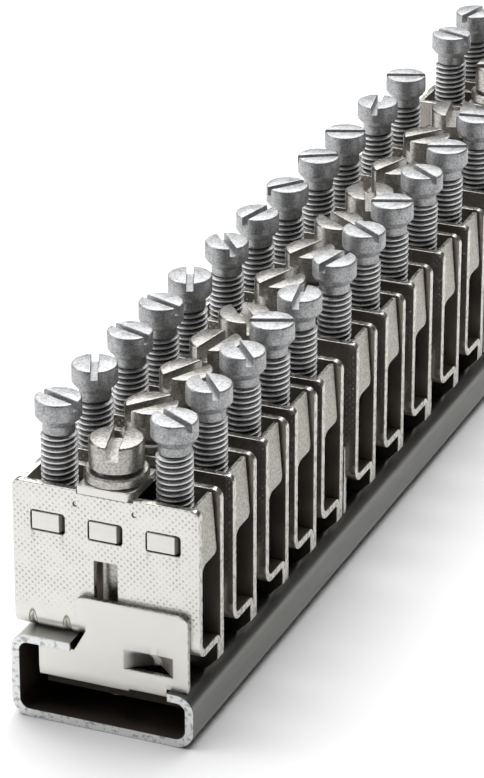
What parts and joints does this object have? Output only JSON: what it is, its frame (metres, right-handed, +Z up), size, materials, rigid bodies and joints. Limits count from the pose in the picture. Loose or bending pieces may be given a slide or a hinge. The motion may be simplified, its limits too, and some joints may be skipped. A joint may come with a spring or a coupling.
{
  "type": "earth terminal block",
  "caption": "Row of earth terminals with bent sheet-metal clamp cages and slotted clamp screws, hooked and screwed to one length of G-profile rail.",
  "frame": {"origin": "middle of the rail's underside, at the middle of its length", "axes": "+X across the rail towards its low wall, +Y along the rail away from the end where the first cage's front plate faces out, +Z up"},
  "size_m": [0.0324, 0.212, 0.0548],
  "materials": {
    "rail_steel": "dull plated strip, bright on the sawn ends",
    "plated_sheet": "bright plated sheet with a fine dot pattern",
    "foot_sheet": "smooth satin plated sheet",
    "guard_sheet": "matt plated sheet",
    "bar_steel": "brushed plated bar",
    "screw_steel": "matt grey plated steel"
  },
  "bodies": {
    "root": {"rail": "rail_steel", "terminal_01_cage": "plated_sheet", "terminal_01_back_plate": "plated_sheet", "terminal_01_foot_plate": "foot_sheet", "terminal_02_cage": "plated_sheet", "terminal_02_back_plate": "plated_sheet", "terminal_02_foot_plate": "foot_sheet", "terminal_03_cage": "plated_sheet", "terminal_03_back_plate": "plated_sheet", "terminal_03_foot_plate": "foot_sheet", "terminal_04_cage": "plated_sheet", "terminal_04_back_plate": "plated_sheet", "terminal_04_foot_plate": "foot_sheet", "terminal_05_cage": "plated_sheet", "terminal_05_back_plate": "plated_sheet", "terminal_05_foot_plate": "foot_sheet", "terminal_06_cage": "plated_sheet", "terminal_06_back_plate": "plated_sheet", "terminal_06_foot_plate": "foot_sheet", "terminal_07_cage": "plated_sheet", "terminal_07_back_plate": "plated_sheet", "terminal_07_foot_plate": "foot_sheet", "terminal_08_cage": "plated_sheet", "terminal_08_back_plate": "plated_sheet", "terminal_08_foot_plate": "foot_sheet", "terminal_09_cage": "plated_sheet", "terminal_09_back_plate": "plated_sheet", "terminal_09_foot_plate": "foot_sheet", "terminal_10_cage": "plated_sheet", "terminal_10_back_plate": "plated_sheet", "terminal_10_foot_plate": "foot_sheet", "terminal_11_cage": "plated_sheet", "terminal_11_back_plate": "plated_sheet", "terminal_11_foot_plate": "foot_sheet", "terminal_12_cage": "plated_sheet", "terminal_12_back_plate": "plated_sheet", "terminal_12_foot_plate": "foot_sheet", "terminal_13_cage": "plated_sheet", "terminal_13_back_plate": "plated_sheet", "terminal_13_foot_plate": "foot_sheet", "terminal_14_cage": "plated_sheet", "terminal_14_back_plate": "plated_sheet", "terminal_14_foot_plate": "foot_sheet", "threaded_bars": "bar_steel", "wire_guards": "guard_sheet", "saddles": "plated_sheet", "washers": "screw_steel", "fixing_screws": "screw_steel", "clamp_screws_left": "screw_steel", "clamp_screws_right": "screw_steel", "rail_clamps": "bar_steel"}
  },
  "joints": []
}
